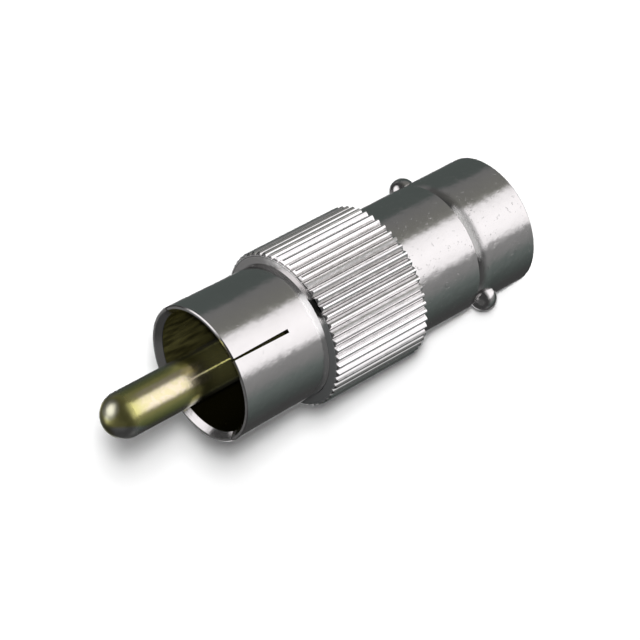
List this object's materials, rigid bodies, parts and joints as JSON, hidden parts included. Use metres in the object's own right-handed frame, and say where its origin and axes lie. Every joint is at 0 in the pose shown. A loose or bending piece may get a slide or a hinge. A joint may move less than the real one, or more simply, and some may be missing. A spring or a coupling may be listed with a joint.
{
  "type": "bnc to rca adapter",
  "caption": "Nickel plated coaxial adapter with a BNC bayonet jack at one end, a straight-knurled collar and a slotted RCA plug with a round-nosed gold pin at the other.",
  "frame": {"origin": "centre of the bayonet barrel's end face, on which the adapter stands", "axes": "+Z along the adapter's axis, from the bayonet jack to the plug's pin; +X through one bayonet lug"},
  "size_m": [0.0114, 0.0112, 0.0342],
  "materials": {
    "nickel": "satin nickel plate",
    "gold": "pale gold plate",
    "black_plastic": "plain",
    "white_plastic": "plain"
  },
  "bodies": {
    "root": {"adapter_body": "nickel", "bayonet_lug_right": "nickel", "bayonet_lug_left": "nickel", "plug_shell": "nickel", "centre_contact": "gold", "plug_insulator": "black_plastic", "jack_insulator": "white_plastic"}
  },
  "joints": []
}
